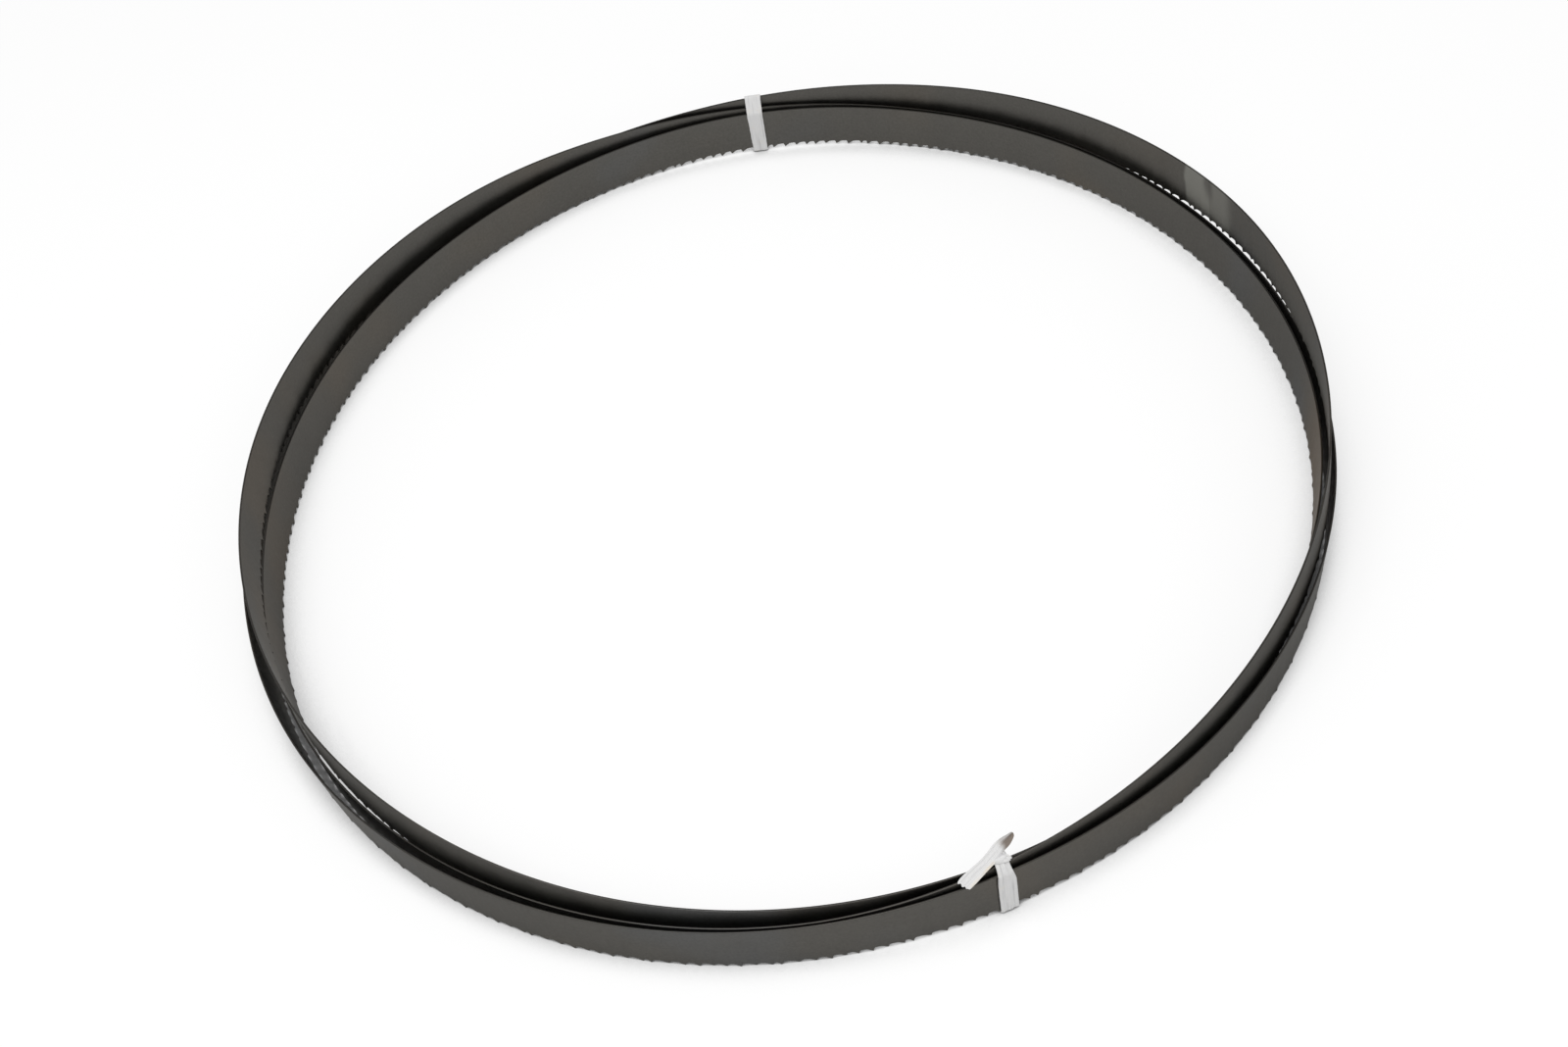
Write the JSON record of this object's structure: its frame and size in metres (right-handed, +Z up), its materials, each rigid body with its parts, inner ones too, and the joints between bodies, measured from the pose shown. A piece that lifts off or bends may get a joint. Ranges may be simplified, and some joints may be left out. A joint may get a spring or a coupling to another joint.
{
  "type": "band saw blade",
  "caption": "Endless toothed steel band for a band saw, coiled into a storage ring with its teeth down and held by a plain tie and a knotted tie.",
  "frame": {"origin": "under the middle of the coiled blade, on the surface it lies on", "axes": "+Z up along the coil's axis; the rear tie is towards +Y and the knotted tie towards -Y"},
  "size_m": [0.539, 0.5506, 0.0565],
  "materials": {
    "blade_steel": "dark tempered steel band, fine satin with faint lengthways grain",
    "tie_strap": "white matt fibrous strap with lengthways folds"
  },
  "bodies": {
    "root": {"saw_blade": "blade_steel", "rear_tie": "tie_strap", "front_tie": "tie_strap"}
  },
  "joints": []
}
